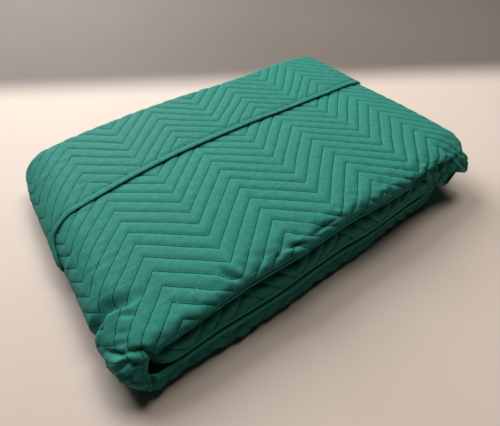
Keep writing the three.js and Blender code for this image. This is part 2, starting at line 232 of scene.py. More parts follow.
# The settled shape: a low crown, rounded corners and lower runs that lean out at the front
def settle(x, y, z):
    end_x = np.clip(x, WRAP_X, DROOP_X)
    reach = np.where(x < end_x, np.interp(y, PLAN_Y, PLAN_LEFT), np.interp(y, PLAN_Y, PLAN_RIGHT))
    settled_x = end_x + (x - end_x) * reach
    droop = np.interp(y, PLAN_Y, PLAN_DROOP) * smooth(DROOP_X, RIGHT_LIMIT, x)
    fall = np.where(x < CROWN_X, FALL_LEFT, FALL_RIGHT) * ((x - CROWN_X) / CROWN_SPAN) ** 2
    across = np.clip((y - CROWN_Y) / CROWN_HALF_Y, -1.0, 1.0)
    height = (1 - fall) * (1 - FALL_Y * across**2) * (1 - droop)
    front = np.clip((PLAN_ROWS[0] - y) / (PLAN_ROWS[0] - INNER_FRONT_Y), 0.0, 1.0)
    low_height = 1 - mixed(1.0, LOW_SHARE, front) * (1 - height)
    upper_height = (height * FULL_Z - low_height * MIDDLE_Z) / (FULL_Z - MIDDLE_Z)
    settled_z = low_height * np.minimum(z, MIDDLE_Z) + upper_height * np.maximum(z - MIDDLE_Z, 0.0)
    low = 1 - z / FULL_Z
    along = np.clip((x - LEAN_X) / LEAN_SPAN, -LEAN_OVERRUN, 1 + LEAN_OVERRUN)
    lean = mixed(LEAN_LEFT, LEAN_RIGHT, along) * low
    forward = (BACK_LIMIT - y) / (BACK_LIMIT - FRONT_LIMIT)
    back = np.interp(x, BACK_X, BACK_OUT) * np.clip(1 - forward / BACK_SHARE, 0.0, None)
    wave = WAVE_HEIGHT * np.sin(2 * math.pi * x / WAVE_LENGTH + WAVE_TURN * low) * forward
    spread = np.interp(x, SPREAD_X, SPREAD) * low**SPREAD_POWER * forward
    settled_y = y + lean * forward + wave - spread + back
    return np.stack([settled_x - CENTRE_X, settled_y - CENTRE_Y, np.maximum(settled_z, 0.0)], axis=-1)


# The cover ply bends down at the front as a skirt
COVER_END = SKIRT_Y + SKIRT_RADIUS
SKIRT_BEND = (SKIRT_RADIUS + HALF) * math.pi / 2
V_SKIRT_BENT = COVER_END - SKIRT_BEND
V_SKIRT_HEM = V_SKIRT_BENT - SKIRT_FALL
BENT_LEVEL = COVER_LEVEL - SKIRT_RADIUS
# How far the skirt falls below its bend: more on the lower runs than on the top run, and deep in two loose
# tails at the free end
FALL_U = (
    U_BOTTOM, -310.0, -170.0, 196.0, 209.0, 222.0, 236.0,
    257.0, 260.0, 263.0, 274.0, 281.0, 288.0, U_FREE,
)
FALL = (11.3, 9.0, 6.5, 6.5, 38.0, 41.0, 47.0, 47.0, 38.0, 21.0, 18.0, 20.0, 30.0, 26.0)
TAIL_START = 194.0
TAIL_FULL = 212.0
TAIL_PUSH = 8.0
# Below a band the lower tail lies further in, and the tab at the free end stands out to the right
BAND_FALL = 14.0
BAND_STEP = 3.0
RECESS = 5.0
RECESS_FULL = 262.0
RECESS_END = 272.0
TAB_START = 276.0
TAB_FULL = 292.0
TAB_OUT = 6.0
TAB_ROOT = 6.0


def skirt_fall(u):
    return np.interp(u, FALL_U, FALL)


def above_hem(u, v):
    return v - V_SKIRT_BENT + skirt_fall(u)


# The rows of the skirt lie closer together where it falls less
def skirt_v(u, v):
    share = skirt_fall(u) / SKIRT_FALL
    return np.where(v < V_SKIRT_BENT, V_SKIRT_BENT + (v - V_SKIRT_BENT) * share, v)


# The fold line of the cover ply and its skirt at v: place, level, and the way its face looks
def cover_fold(v):
    turn = np.clip((COVER_END - v) / (SKIRT_RADIUS + HALF), 0.0, math.pi / 2)
    fall = np.clip(V_SKIRT_BENT - v, 0.0, None)
    y = np.maximum(v, COVER_END) - SKIRT_RADIUS * np.sin(turn)
    n = COVER_LEVEL - SKIRT_RADIUS * (1 - np.cos(turn)) - fall
    return y, n, -np.sin(turn), np.cos(turn)


# The same for the flap and the turn at the back
V_BACK_END = BACK_TURN_Y + (BACK_RADIUS + HALF) * math.pi


def flap_fold(v):
    turn = np.clip((v - BACK_TURN_Y) / (BACK_RADIUS + HALF), 0.0, math.pi)
    y = np.minimum(v, BACK_TURN_Y) + BACK_RADIUS * np.sin(turn)
    n = FLAP_LEVEL - BACK_RADIUS * (1 - np.cos(turn))
    return y, n, np.sin(turn), np.cos(turn)


FOLDS = {"cover": cover_fold, "flap": flap_fold}


# Which part of a stitch spacing a place lies in
def stitch_phase(face, u, v):
    corner, leg, row = ZIGZAG[face]
    pointing_back = 1 - np.abs(((u - corner) / leg + 1) % 2 - 1)
    return (v - row - RISE * (pointing_back - 1)) / SPACING


# Whether the zigzag rises with u there
def zigzag_rises(face, u):
    corner, leg, _ = ZIGZAG[face]
    return np.floor((u - corner) / leg) % 2 == 1


# How near a place is to a stitch line: 1 on it, 0 half way to the next
def near_stitch(face, u, v):
    phase = stitch_phase(face, u, v)
    near = 1 - 2 * np.abs(phase - np.round(phase))
    if face == "flap":
        beyond = v - FLAP_HEM_Y - HEM_BAND
        near = np.maximum(near * (beyond > 0), 1 - 2 * np.abs(beyond) / LINE_SPACING)
    return near


# How many stitches a place lies from the zigzag's corner
def stitch_count(face, u):
    corner, leg, _ = ZIGZAG[face]
    return (u - corner) / leg * round(math.hypot(leg, RISE) / STITCH)


# A painted highlight on the skirt's hem, where its rolled edges catch light: two lines close together on the
# top run, one on the lower runs
FIRST_LINE = 0.4
SECOND_LINE = 5.0
EDGE_LINE = 0.6
HIGHLIGHT_TOP = (-262.0, -225.0, TAIL_START, TAIL_FULL)
HIGHLIGHT_LOWER_START = U_BOTTOM - 10.0
HIGHLIGHT_LOWER_FULL = U_BOTTOM - 50.0


# Painted highlight: paler lines where the hem's rolled edges catch light
def painted_hem_highlight(u, v):
    over_edge = above_hem(u, v)
    upper = within(HIGHLIGHT_TOP, u)
    lower = smooth(HIGHLIGHT_LOWER_START, HIGHLIGHT_LOWER_FULL, u)
    first = bump(FIRST_LINE, EDGE_LINE, over_edge)
    return (upper + lower) * first + upper * bump(SECOND_LINE, EDGE_LINE, over_edge)


# The relief of the skirt's hem: on the top run a double edge with a groove, a raised edge on the bottom run
# and a sunk one on the middle run
GROOVE = -1.7
GROOVE_LINE = 2.4
LIP = 0.6
LIP_WIDTH = 1.2
RAISED_EDGE = 1.2
SUNK_EDGE = -0.9
EDGE_WIDTH = 2.4
DOUBLE_EDGE = (-270.0, -220.0, TAIL_START, TAIL_FULL)


def skirt_hem(u, v):
    over_edge = above_hem(u, v)
    double = GROOVE * bump(GROOVE_LINE, LIP_WIDTH, over_edge) + LIP * bump(SECOND_LINE, LIP_WIDTH, over_edge)
    bottom = (u < U_LOWER) & (u > U_TIGHT)
    single = np.where(bottom, RAISED_EDGE, SUNK_EDGE) * bump(0.0, EDGE_WIDTH, over_edge)
    return within(DOUBLE_EDGE, u) * double + (u < U_LOWER) * single


# The quilting's height above the cloth's face. The seams are drawn in deeper where the front is rolled, and
# lie flatter where the cloth is pulled round the left end.
VALLEY = -1.3
PUFF = 0.5
ROUNDNESS = 3.2
FRONT_START = COVER_END + 16.0
FRONT_FULL = V_SKIRT_BENT + 4.0
FRONT_DEPTH = 0.5
LOWER_DEPTH = 0.7
FRONT_ROUNDNESS = 2.2
HEM_PLAIN = 2.0
HEM_FADE = 14.0
FLATTENED = (U_BOTTOM, U_BOTTOM + 30.0, -310.0, -265.0)
PULLED_FLAT = 0.5
PUCKER_HEIGHT = 0.14
PULLED = (-350.0, -300.0, -240.0, -190.0)
PULLED_HEIGHT = 0.45
DIMPLE_HEIGHT = 0.18
GATHER_START = COVER_END + 34.0
GATHER_HEIGHT = 0.8
# The flap's hem is rolled: its edge lies low, swells, ripples and ends a little beyond its band
ROLL_EDGE = -1.4
ROLL_SWELL = 1.9
RIPPLE_HEIGHT = 0.2
ROLL_END = 1.4


def quilting(face, u, v):
    near = near_stitch(face, u, v)
    front = smooth(FRONT_START, FRONT_FULL, v) if face == "cover" else 0.0
    inside_hem = smooth(HEM_PLAIN, HEM_FADE, above_hem(u, v)) if face == "cover" else 1.0
    depth = 1 + front * np.where(u < U_LOWER, LOWER_DEPTH, FRONT_DEPTH)
    depth = depth * inside_hem * (1 - PULLED_FLAT * within(FLATTENED, u))
    height = depth * mixed(VALLEY, PUFF, 1 - near ** mixed(ROUNDNESS, FRONT_ROUNDNESS, front))
    pucker = uneven(v, u, PUCKERS) * (0.5 + 0.5 * np.tanh(uneven(v, u, PUCKER_PATCHES)))
    pucker_height = PUCKER_HEIGHT + PULLED_HEIGHT * within(PULLED, u)
    height = height + pucker_height * pucker + DIMPLE_HEIGHT * uneven(v, u, DIMPLES)
    if face == "cover":
        gathered = smooth(GATHER_START, COVER_END, v) * inside_hem * (u > U_BOTTOM)
        height = height + skirt_hem(u, v) + GATHER_HEIGHT * gathered * uneven(v, u, GATHERS)
    if face == "flap":
        band = (v - FLAP_HEM_Y) / HEM_BAND
        swell = np.sin(math.pi * np.clip(band, 0.0, 1.0))
        rolled = ROLL_EDGE + ROLL_SWELL * swell + RIPPLE_HEIGHT * uneven(u + v, u, HEM_RIPPLES)
        height = mixed(rolled, height, smooth(1.0, ROLL_END, band))
    return height


# At both ends of the strip the cloth's section closes in a round edge
THINNEST = 0.02


def end_rounding(u):
    inside = np.clip(np.minimum(U_FREE - u, u - U_HIDDEN) / HALF, 0.0, 1.0)
    return np.sqrt(np.clip(1 - (1 - inside) ** 2, THINNEST, 1.0))


# The free end of the strip rounds down
END_DROP = 8.0
END_REACH = 15.0
STEEPEST = 0.98


def end_drop(u):
    inside = np.clip(1 - (U_FREE - u) / END_REACH, 0.0, STEEPEST)
    return END_DROP * (1 - np.sqrt(1 - inside**2))


# The front corner of the hidden end is rounded
TUCK = 30.0
TUCK_FROM = -120.0
TUCK_ROUNDNESS = 0.98


def tuck_in(u):
    inside = np.clip(1 - (u - U_HIDDEN) / TUCK, 0.0, 1.0)
    return TUCK * (1 - np.sqrt(1 - TUCK_ROUNDNESS * inside**2))


# A place of the cloth: y and n say where it lies in the fold, and off is the way that out leads from there
STRAY = 0.5


def cloth_place(u, y, n, off, out, leg, v):
    x, z, out_x, out_z, sag = strip_place(u)
    shift = np.interp(u, HEM_LINE_U, HEM_LINE_SHIFT)
    if leg == "flap":
        y = y + shift * smooth(SHIFT_END_Y, SHIFT_FULL_Y, y)
    if leg == "cover":
        level = np.minimum(n / COVER_LEVEL, 1.0)
        n = n + sag * PLY * smooth(SAG_START + shift, SAG_END + shift, y) * level
        fall = np.clip(BENT_LEVEL - n, 0.0, None)
        tail = smooth(TAIL_START, TAIL_FULL, u)
        below = smooth(BAND_FALL, BAND_FALL + BAND_STEP, fall) * smooth(RECESS_END, RECESS_FULL, u)
        y = y - TAIL_PUSH * tail * fall / skirt_fall(u)
        y = y + RECESS * below * tail
        x = x + TAB_OUT * smooth(TAB_START, TAB_FULL, u) * smooth(0.0, TAB_ROOT, fall)
    z = z - end_drop(u)
    stray = STRAY * uneven(v, u, STRAYING) if leg in FOLDS else 0.0
    off_y, off_n = off
    reach = n + off_n * out
    tucked = y + tuck_in(u) * smooth(TUCK_FROM, INNER_FRONT_Y, y)
    return settle(x + reach * out_x, tucked + off_y * out + stray, z + reach * out_z)


# A place on the cloth's outer face, lifted off it by lift
def face_place(face, u, v, lift):
    y, n, off_y, off_n = FOLDS[face](v)
    return cloth_place(u, y, n, (off_y, off_n), HALF * end_rounding(u) + lift, face, v)


# Laps, where the cloth rises over itself along a line: rise and reach of the high side, fall
# and reach of the low side, the way from low to high, and the points of the line
LAPS = (
    # The trough behind the front left corner
    (
        2.0, 12.0, 13.0, 15.0, (0.2, -1.0, 0.0),
        (
            (-303, -141, 26), (-299, -140, 36), (-289, -136, 48),
            (-277, -131, 55), (-260, -137, 61), (-250, -141, 63),
        ),
    ),
    # The corner ends over the dark pocket on its right
    (
        3.0, 6.0, 6.0, 5.0, (-1.0, 0.0, 0.0),
        ((-261, -199, 50), (-267, -205, 36), (-268, -210, 27), (-272, -210, 12)),
    ),
    # The roll over the tails
    (
        1.2, 5.0, 6.0, 11.0, (0.0, 0.0, 1.0),
        (
            (142, -192, 76), (203, -189, 74), (228, -190, 72),
            (241, -189, 72), (259, -185, 70), (284, -178, 66),
        ),
    ),
)
LAP_EDGE = 1.2
LOW_SIDE_POWER = 4

# Creases: half width, height (a trough is below zero) and the points of its line
CREASES = (
    # The puckered front left corner: each dark fold has a bright bulge below it
    (3.2, -9.0, ((-294, -163, 42), (-289, -172, 47), (-284, -179, 50), (-278, -181, 54), (-270, -187, 56))),
    (3.0, -8.0, ((-274, -185, 56), (-262, -193, 55), (-257, -198, 50))),
    (7.0, 4.5, ((-293, -174, 37), (-288, -181, 42), (-281, -187, 46), (-271, -192, 49))),
    (3.0, -8.0, ((-293, -187, 40), (-286, -189, 46), (-280, -191, 49), (-275, -196, 47))),
    (2.6, -6.0, ((-279, -197, 44), (-267, -198, 49))),
    (5.0, 3.5, ((-288, -194, 40), (-281, -197, 42))),
    (2.6, -7.5, ((-291, -193, 38), (-285, -200, 36), (-276, -202, 41))),
    (4.0, 2.5, ((-287, -199, 35), (-277, -205, 36))),
    (2.6, -7.5, ((-289, -200, 31), (-275, -208, 31))),
    (2.6, -5.0, ((-270, -140, 58), (-253, -155, 62))),
    (3.5, -3.0, ((-281, -156, 53), (-267, -166, 59))),
    (3.5, -3.0, ((-286, -166, 49), (-272, -176, 57))),
    # Puckers along the front edge of the top
    (4.0, -5.0, ((-155, -163, 74), (-150, -179, 74), (-143, -189, 71))),
    (5.0, 2.5, ((-146, -160, 76), (-141, -176, 76), (-136, -186, 73))),
    (3.5, -4.5, ((-89, -185, 79), (-93, -191, 74))),
    (4.0, -4.5, ((-85, -182, 80), (-71, -187, 80), (-54, -191, 76))),
    (5.0, 3.0, ((-80, -190, 74), (-66, -193, 74), (-54, -195, 71))),
    (4.0, -4.5, ((-35, -187, 81), (-13, -186, 82))),
    (3.5, -4.0, ((-15, -185, 83), (0, -187, 82))),
    (3.5, -3.0, ((60, -187, 84), (66, -194, 78))),
    (3.5, -3.0, ((92, -184, 84), (98, -193, 78))),
    # The front roll is rounder than the solid's, most of all towards the right, with pleats above the tails
    (14.0, -3.5, ((-215, -181, 68), (-150, -184, 75), (-60, -187, 81), (30, -188, 84), (100, -188, 84))),
    (17.0, -4.5, ((110, -188, 84), (150, -188, 84), (194, -185, 83), (239, -180, 79), (282, -172, 70))),
    (3.0, -3.5, ((241, -172, 79), (226, -189, 75))),
    (3.0, -3.5, ((251, -181, 75), (258, -190, 66))),
    (3.0, -3.0, ((241, -190, 68), (261, -195, 55), (279, -196, 41))),
    # Folds across the lower front
    (3.0, -2.0, ((-229, -210, 15), (-199, -200, 17))),
    (4.0, -2.5, ((-175, -213, 15), (-142, -201, 21))),
)


# The way from the nearest point of a line to each place, and how strong the fold is at that point
STRENGTH_AT_ENDS = 0.3


def from_line(places, line):
    points = np.array(line, float)
    legs = np.diff(points, axis=0)
    lengths = np.linalg.norm(legs, axis=1)
    passed = np.concatenate([[0.0], np.cumsum(lengths)])
    apart = np.full(places.shape, np.inf)
    share = np.zeros(len(places))
    for start, leg, length, before in zip(points, legs, lengths, passed):
        along = np.clip((places - start) @ leg / length**2, 0.0, 1.0)
        away = places - start - along[:, None] * leg
        closer = np.linalg.norm(away, axis=1) < np.linalg.norm(apart, axis=1)
        apart = np.where(closer[:, None], away, apart)
        share = np.where(closer, (before + along * length) / passed[-1], share)
    return apart, mixed(STRENGTH_AT_ENDS, 1.0, np.sin(math.pi * share))


def creases(places):
    total = np.zeros(len(places))
    for width, height, line in CREASES:
        apart, strength = from_line(places, line)
        total += height * strength * bump(0.0, width, np.linalg.norm(apart, axis=1))
    for rise, high_reach, fall, low_reach, way, line in LAPS:
        apart, strength = from_line(places, line)
        far = np.linalg.norm(apart, axis=1)
        side = 0.5 + 0.5 * np.tanh(apart @ np.array(way) / np.linalg.norm(way) / LAP_EDGE)
        high = rise * bump(0.0, high_reach, far)
        low = -fall * np.exp(-((far / low_reach) ** LOW_SIDE_POWER))
        total += strength * mixed(low, high, side)
    return total


# All that raises or lowers the outer face of the cloth. What lies on the floor is flat.
EDGE_FADE = 8.0
UNDERNEATH = (U_TIGHT - 15.0, U_TIGHT - 2.0, U_BOTTOM + 15.0, U_BOTTOM + 60.0)
COVER_LYING = COVER_END + 4.0
BACK_LYING = BACK_TURN_Y + 4.0


def cloth_lift(face, u, v):
    at_edge = smooth(0.0, EDGE_FADE, np.minimum(U_FREE - u, u - U_HIDDEN))
    lying = (v > COVER_LYING) if face == "cover" else (v < BACK_LYING)
    quilted = quilting(face, u, v) * at_edge * (1 - within(UNDERNEATH, u) * lying)
    return quilted + creases(face_place(face, u, v, 0.0))


# Stations along the strip, from the free end to the hidden one. On a face that shows they keep to its
# zigzag.
END_STEPS = (0.0, 0.12, 0.5, 1.1, 2.0)
CLEARANCE = 0.4
HIDDEN_CLEARANCE = 12.0
DROOP_STEP = 25.0
TOP_STEP = 37.5
WRAP_STEP = 9.2


def run(start, end, step):
    count = max(1, round(abs(start - end) / step))
    return [mixed(start, end, k / count) for k in range(count)]


def shown_stations(face):
    corner, leg, _ = ZIGZAG[face]
    step = leg / GRID
    start = U_FREE - END_STEPS[-1] - CLEARANCE * step
    end = U_BOTTOM + CLEARANCE * step
    first = math.floor((start - corner) / step)
    last = math.ceil((end - corner) / step)
    return [corner + step * k for k in range(first, last - 1, -1)]


def hidden_stations():
    start = U_FREE - END_STEPS[-1] - HIDDEN_CLEARANCE
    top = run(start, DROOP_X, DROOP_STEP) + run(DROOP_X, U_WRAP, TOP_STEP)
    return top + run(U_WRAP, U_BOTTOM, WRAP_STEP)


def stations(upper, lower_step, turn_step):
    free = [U_FREE - inset for inset in END_STEPS]
    hidden = [U_HIDDEN + inset for inset in END_STEPS[::-1]]
    below = run(U_BOTTOM, U_TIGHT, lower_step) + run(U_TIGHT, U_MIDDLE, turn_step)
    below += run(U_MIDDLE, hidden[0], lower_step)
    return np.array(free + upper + below + hidden)


# The stations of each kind of row, with its steps on the lower runs and round the tight turn
COARSE = 73.0
MEDIUM = 7.0
FINE = 2.4
TURN = 4.0
COARSE_TURN = 12.0
STATIONS = {
    "cover": stations(shown_stations("cover"), COARSE, TURN),
    "flap": stations(shown_stations("flap"), COARSE, TURN),
    "skirt": stations(shown_stations("cover"), FINE, FINE),
    "back": stations(shown_stations("flap"), MEDIUM, TURN),
    "edge": stations(hidden_stations(), MEDIUM, TURN),
    "hidden": stations(hidden_stations(), COARSE, COARSE_TURN),
}


# One row of the cloth: a line along the strip at one place of the fold, either plain or on the outer face
def plain_row(kind, leg, y, n, off, v):
    return {"kind": kind, "leg": leg, "y": y, "n": n, "off": off, "v": v, "face": None}


def face_row(kind, face, v):
    return {"kind": kind, "leg": face, "v": v, "face": face}


# The rows of a face on its zigzag's grid, of the first kind below the limit and of the second from there on
ROW_CLEARANCE = 0.25


def face_rows(face, low, high, kinds, limit):
    origin = ZIGZAG[face][2]
    first = math.ceil((low - origin) / ROW_STEP + ROW_CLEARANCE)
    last = math.floor((high - origin) / ROW_STEP - ROW_CLEARANCE)
    values = [low] + [origin + ROW_STEP * k for k in range(first, last + 1)] + [high]
    return [face_row(kinds[0] if v < limit else kinds[1], face, v) for v in values]


# The plies between the flap and the cover, each with its level and its two ends
PLIES = (
    ("under", 0.5, BACK_TURN_Y, INNER_FRONT_Y),
    ("second", 1.5, INNER_FRONT_Y, INNER_BACK_Y),
    ("third", 2.5, INNER_BACK_Y, INNER_FRONT_Y),
    ("fourth", 3.5, INNER_FRONT_Y, INNER_BACK_Y),
)
PLY_TURN_STEPS = 6


# The rows of the hidden plies on one side of the cloth, with the turn that ends each
def ply_rows(side):
    rows = []
    for name, level, start, end in PLIES:
        way = 1.0 if end > start else -1.0
        n = level * PLY
        for y in (start, *PLAN_ROWS[:: int(way)], end):
            rows.append(plain_row("hidden", name, y, n, (0.0, side * way), y))
        kind = "edge" if way < 0 and side > 0 else "hidden"
        for k in range(1, PLY_TURN_STEPS):
            turn = math.pi * k / PLY_TURN_STEPS
            y = end + way * PLY / 2 * math.sin(turn)
            height = n + PLY / 2 * (1 - math.cos(turn))
            off = (-side * math.sin(turn), side * way * math.cos(turn))
            rows.append(plain_row(kind, "turn", y, height, off, y))
    return rows


HEM_STEPS = 5
SKIRT_STEP = 1.2
SKIRT_BEND_STEPS = 4
BACK_TURN_STEPS = 8
COVER_SHOWN = 70.0
BACK_ROWS_FROM = BACK_TURN_Y - 2.0
SKIRT_ROWS_TO = COVER_END + 14.0
SAG_MIDDLE = (SAG_START + SAG_END) / 2
SAG_ROWS = [y + shift for shift in (0.0, HEM_LINE_SHIFT[0]) for y in (SAG_START, SAG_MIDDLE, SAG_END)]


# All rows in order round the cloth's section: the flap's upper side and on to the skirt's inner side, then
# back. The rows of the skirt's hem have the level of its bend.
def cloth_rows():
    rows = face_rows("flap", FLAP_EDGE_Y, V_BACK_END, ("flap", "back"), BACK_ROWS_FROM)
    rows += ply_rows(1.0)
    for y in (INNER_BACK_Y, PLAN_ROWS[1], *SAG_ROWS, PLAN_ROWS[0], COVER_END):
        rows.append(plain_row("hidden", "cover", y, COVER_LEVEL, (0.0, -1.0), y))
    for k in range(1, SKIRT_BEND_STEPS + 1):
        turn = math.pi / 2 * k / SKIRT_BEND_STEPS
        y = COVER_END - SKIRT_RADIUS * math.sin(turn)
        n = BENT_LEVEL + SKIRT_RADIUS * math.cos(turn)
        rows.append(plain_row("edge", "cover", y, n, (math.sin(turn), -math.cos(turn)), y))
    for k in range(HEM_STEPS):
        turn = math.pi * k / HEM_STEPS
        off = (math.cos(turn), -math.sin(turn))
        rows.append(plain_row("edge", "cover", SKIRT_Y, BENT_LEVEL, off, V_SKIRT_HEM))
    rows += [face_row("skirt", "cover", v) for v in run(V_SKIRT_HEM, V_SKIRT_BENT, SKIRT_STEP)]
    rows += face_rows("cover", V_SKIRT_BENT, COVER_SHOWN, ("skirt", "cover"), SKIRT_ROWS_TO)
    for y in (PLAN_ROWS[1], INNER_BACK_Y):
        rows.append(plain_row("hidden", "cover", y, COVER_LEVEL, (0.0, 1.0), y))
    rows += ply_rows(-1.0)[::-1]
    for k in range(1, BACK_TURN_STEPS):
        turn = math.pi * (1 - k / BACK_TURN_STEPS)
        y = BACK_TURN_Y + BACK_RADIUS * math.sin(turn)
        n = FLAP_LEVEL - BACK_RADIUS * (1 - math.cos(turn))
        rows.append(plain_row("hidden", "turn", y, n, (-math.sin(turn), -math.cos(turn)), y))
    for y in (BACK_TURN_Y, PLAN_ROWS[1], COVER_SHOWN):
        rows.append(plain_row("hidden", "flap", y, FLAP_LEVEL, (0.0, -1.0), y))
    for k in range(HEM_STEPS):
        turn = math.pi * k / HEM_STEPS
        off = (-math.sin(turn), -math.cos(turn))
        rows.append(plain_row("edge", "flap", FLAP_EDGE_Y, FLAP_LEVEL, off, FLAP_HEM_Y))
    return rows


# What is hidden leaves room for the folds of the face: behind the whole front of the top run, and at the
# front left corner further back too
CORNER = (-372.0, -345.0, -245.0, -225.0)
CORNER_PRESS = 13.0
CORNER_PRESS_FROM = -60.0
CORNER_ROOM = 9.0
FRONT = (-245.0, -225.0, U_FREE - 40.0, U_FREE - 8.0)
FRONT_PRESS = 10.0
FRONT_ROOM = 8.0
ROOM_FROM = -150.0
PRESS_LIMIT = 0.72


def pressed_in(u, y, level):
    corner = within(CORNER, u)
    front = within(FRONT, u)
    share = np.minimum(level / COVER_LEVEL, PRESS_LIMIT)
    deep = CORNER_PRESS * corner * smooth(CORNER_PRESS_FROM, PLAN_ROWS[0], y)
    deep = deep + FRONT_PRESS * front * smooth(PLAN_ROWS[0], INNER_FRONT_Y, y)
    room = CORNER_ROOM * corner + FRONT_ROOM * front
    return y + room * smooth(ROOM_FROM, INNER_FRONT_Y, y), level - deep * share


def row_v(row, u):
    return skirt_v(u, row["v"]) if row["face"] == "cover" else np.full(len(u), row["v"])


def row_places(row, u, v):
    if row["face"]:
        return face_place(row["face"], u, v, cloth_lift(row["face"], u, v))
    if row["v"] == V_SKIRT_HEM:
        y, level = row["y"], row["n"] - skirt_fall(u)
    else:
        y, level = pressed_in(u, row["y"], row["n"])
    return cloth_place(u, y, level, row["off"], HALF * end_rounding(u), row["leg"], v)


# Triangles between two neighbouring rows, each with its own stations. On a face they follow the zigzag.
JUST_INSIDE = 0.01


def zip_rows(row_a, row_b, triangles):
    a, b = row_a["ids"], row_b["ids"]
    ua, ub = STATIONS[row_a["kind"]], STATIONS[row_b["kind"]]
    if row_a["kind"] == row_b["kind"]:
        rising = np.full(len(a), True)
        if row_a["face"] and row_b["face"]:
            rising = zigzag_rises(row_a["face"], ua - JUST_INSIDE)
        forward = rising == (row_a["v"] < row_b["v"])
        for k in range(len(a) - 1):
            if forward[k]:
                triangles.append((a[k], b[k], a[k + 1]))
                triangles.append((a[k + 1], b[k], b[k + 1]))
            else:
                triangles.append((a[k], b[k + 1], a[k + 1]))
                triangles.append((a[k], b[k], b[k + 1]))
        return
    i = 0
    j = 0
    while i + 1 < len(a) or j + 1 < len(b):
        next_a = ua[i + 1] if i + 1 < len(a) else -math.inf
        next_b = ub[j + 1] if j + 1 < len(b) else -math.inf
        if next_a >= next_b:
            triangles.append((a[i], b[j], a[i + 1]))
            i += 1
        else:
            triangles.append((a[i], b[j], b[j + 1]))
            j += 1


def new_mesh(name, places, faces):
    mesh = bpy.data.meshes.new(name)
    mesh.from_pydata((places * MM).tolist(), [], faces)
    mesh.update()
    piece = bpy.data.objects.new(name, mesh)
    bpy.context.scene.collection.objects.link(piece)
    return piece


# The narrow edge that is left at each end of the strip is filled by Blender
def close_ends(piece):
    bpy.ops.object.select_all(action="DESELECT")
    bpy.context.view_layer.objects.active = piece
    piece.select_set(True)
    bpy.ops.object.mode_set(mode="EDIT")
    bpy.ops.mesh.select_all(action="DESELECT")
    bpy.ops.mesh.select_non_manifold(extend=False)
    bpy.ops.mesh.fill()
    bpy.ops.mesh.select_all(action="SELECT")
    bpy.ops.mesh.normals_make_consistent(inside=False)
    bpy.ops.object.mode_set(mode="OBJECT")


# What the cloth's finish reads along a row. The hidden plies and the turns count stitches as the flap does.
def row_marks(row, u, v):
    face = row["face"]
    counted_as = row["leg"] if row["leg"] in ZIGZAG else "flap"
    return {
        "near_stitch": near_stitch(face, u, v) if face else np.zeros(len(u)),
        "stitch_count": stitch_count(counted_as, u),
        "painted_hem_highlight": painted_hem_highlight(u, v) if face == "cover" else np.zeros(len(u)),
    }


# The cloth itself: one closed sheet
def make_cloth():
    rows = cloth_rows()
    places = []
    spots = []
    marks = []
    count = 0
    for row in rows:
        u = STATIONS[row["kind"]]
        v = row_v(row, u)
        row["ids"] = range(count, count + len(u))
        count += len(u)
        places.append(row_places(row, u, v))
        spots.append(np.stack([u, v], axis=-1))
        marks.append(row_marks(row, u, v))
    triangles = []
    for index, row in enumerate(rows):
        zip_rows(row, rows[(index + 1) % len(rows)], triangles)
    piece = new_mesh("quilted_bedspread", np.concatenate(places), triangles)
    close_ends(piece)
    mesh = piece.data
    for name in marks[0]:
        mark = mesh.attributes.new(name, "FLOAT", "POINT")
        values = np.concatenate([row_mark[name] for row_mark in marks])
        mark.data.foreach_set("value", values.astype(np.float32))
    weave = mesh.uv_layers.new(name="weave")
    corner = np.zeros(len(mesh.loops), np.int32)
    mesh.loops.foreach_get("vertex_index", corner)
    across = np.concatenate(spots)[corner] * MM
    weave.data.foreach_set("uv", across.astype(np.float32).ravel())
    mesh.shade_smooth()
    return piece


# Where the skirt's hem is stitched
def hem_stitch_v(u):
    return V_SKIRT_BENT - skirt_fall(u) + SKIRT_BAND


# The middle and the way of each stitch of a face's zigzag between limits of u and v
def stitch_lines(face, u_high, u_low, v_low, v_high):
    corner, leg, row = ZIGZAG[face]
    middles = []
    ways = []
    first = math.floor((u_low - corner) / leg)
    last = math.ceil((u_high - corner) / leg)
    first_line = math.floor((v_low - row) / SPACING)
    last_line = math.ceil((v_high - row + RISE) / SPACING)
    length = math.hypot(leg, RISE)
    count = round(length / STITCH)
    share = (np.arange(count) + 0.5) / count
    for k in range(first, last):
        start_v, end_v = (-RISE, 0.0) if k % 2 == 1 else (0.0, -RISE)
        way = np.array([leg, end_v - start_v]) / length
        u = corner + leg * (k + share)
        for line in range(first_line, last_line + 1):
            v = row + line * SPACING + mixed(start_v, end_v, share)
            keep = (u < u_high) & (u > u_low) & (v > v_low) & (v < v_high)
            keep &= (face == "flap") | (v > hem_stitch_v(u))
            middles.append(np.stack([u, v], axis=-1)[keep])
            ways.append(np.repeat(way[None, :], keep.sum(), axis=0))
    return np.concatenate(middles), np.concatenate(ways)


# The same along a hem, where the stitches are shorter
HEM_STITCH = 0.8 * STITCH
FLAP_SEAM = FLAP_HEM_Y + HEM_BAND


def hem_stitches(face, u_high, u_low):
    count = round((u_high - u_low) / HEM_STITCH)
    u = u_high - (np.arange(count) + 0.5) * (u_high - u_low) / count
    v = hem_stitch_v(u) if face == "cover" else np.full(count, FLAP_SEAM)
    return np.stack([u, v], axis=-1), np.repeat([[-1.0, 0.0]], count, axis=0)


# How far the thread shows along the strip and across it
SEWN_FREE = U_FREE - 6.0
SEWN_BOTTOM = U_BOTTOM + 24.0
SEWN_MIDDLE = U_MIDDLE + 30.0
SEWN_HIDDEN = U_HIDDEN + 40.0
LOWEST_STITCH = V_SKIRT_BENT - max(FALL)
UNDER_FLAP = FLAP_HEM_Y + 8.0
SEWN_BACK = V_BACK_END - 5.0

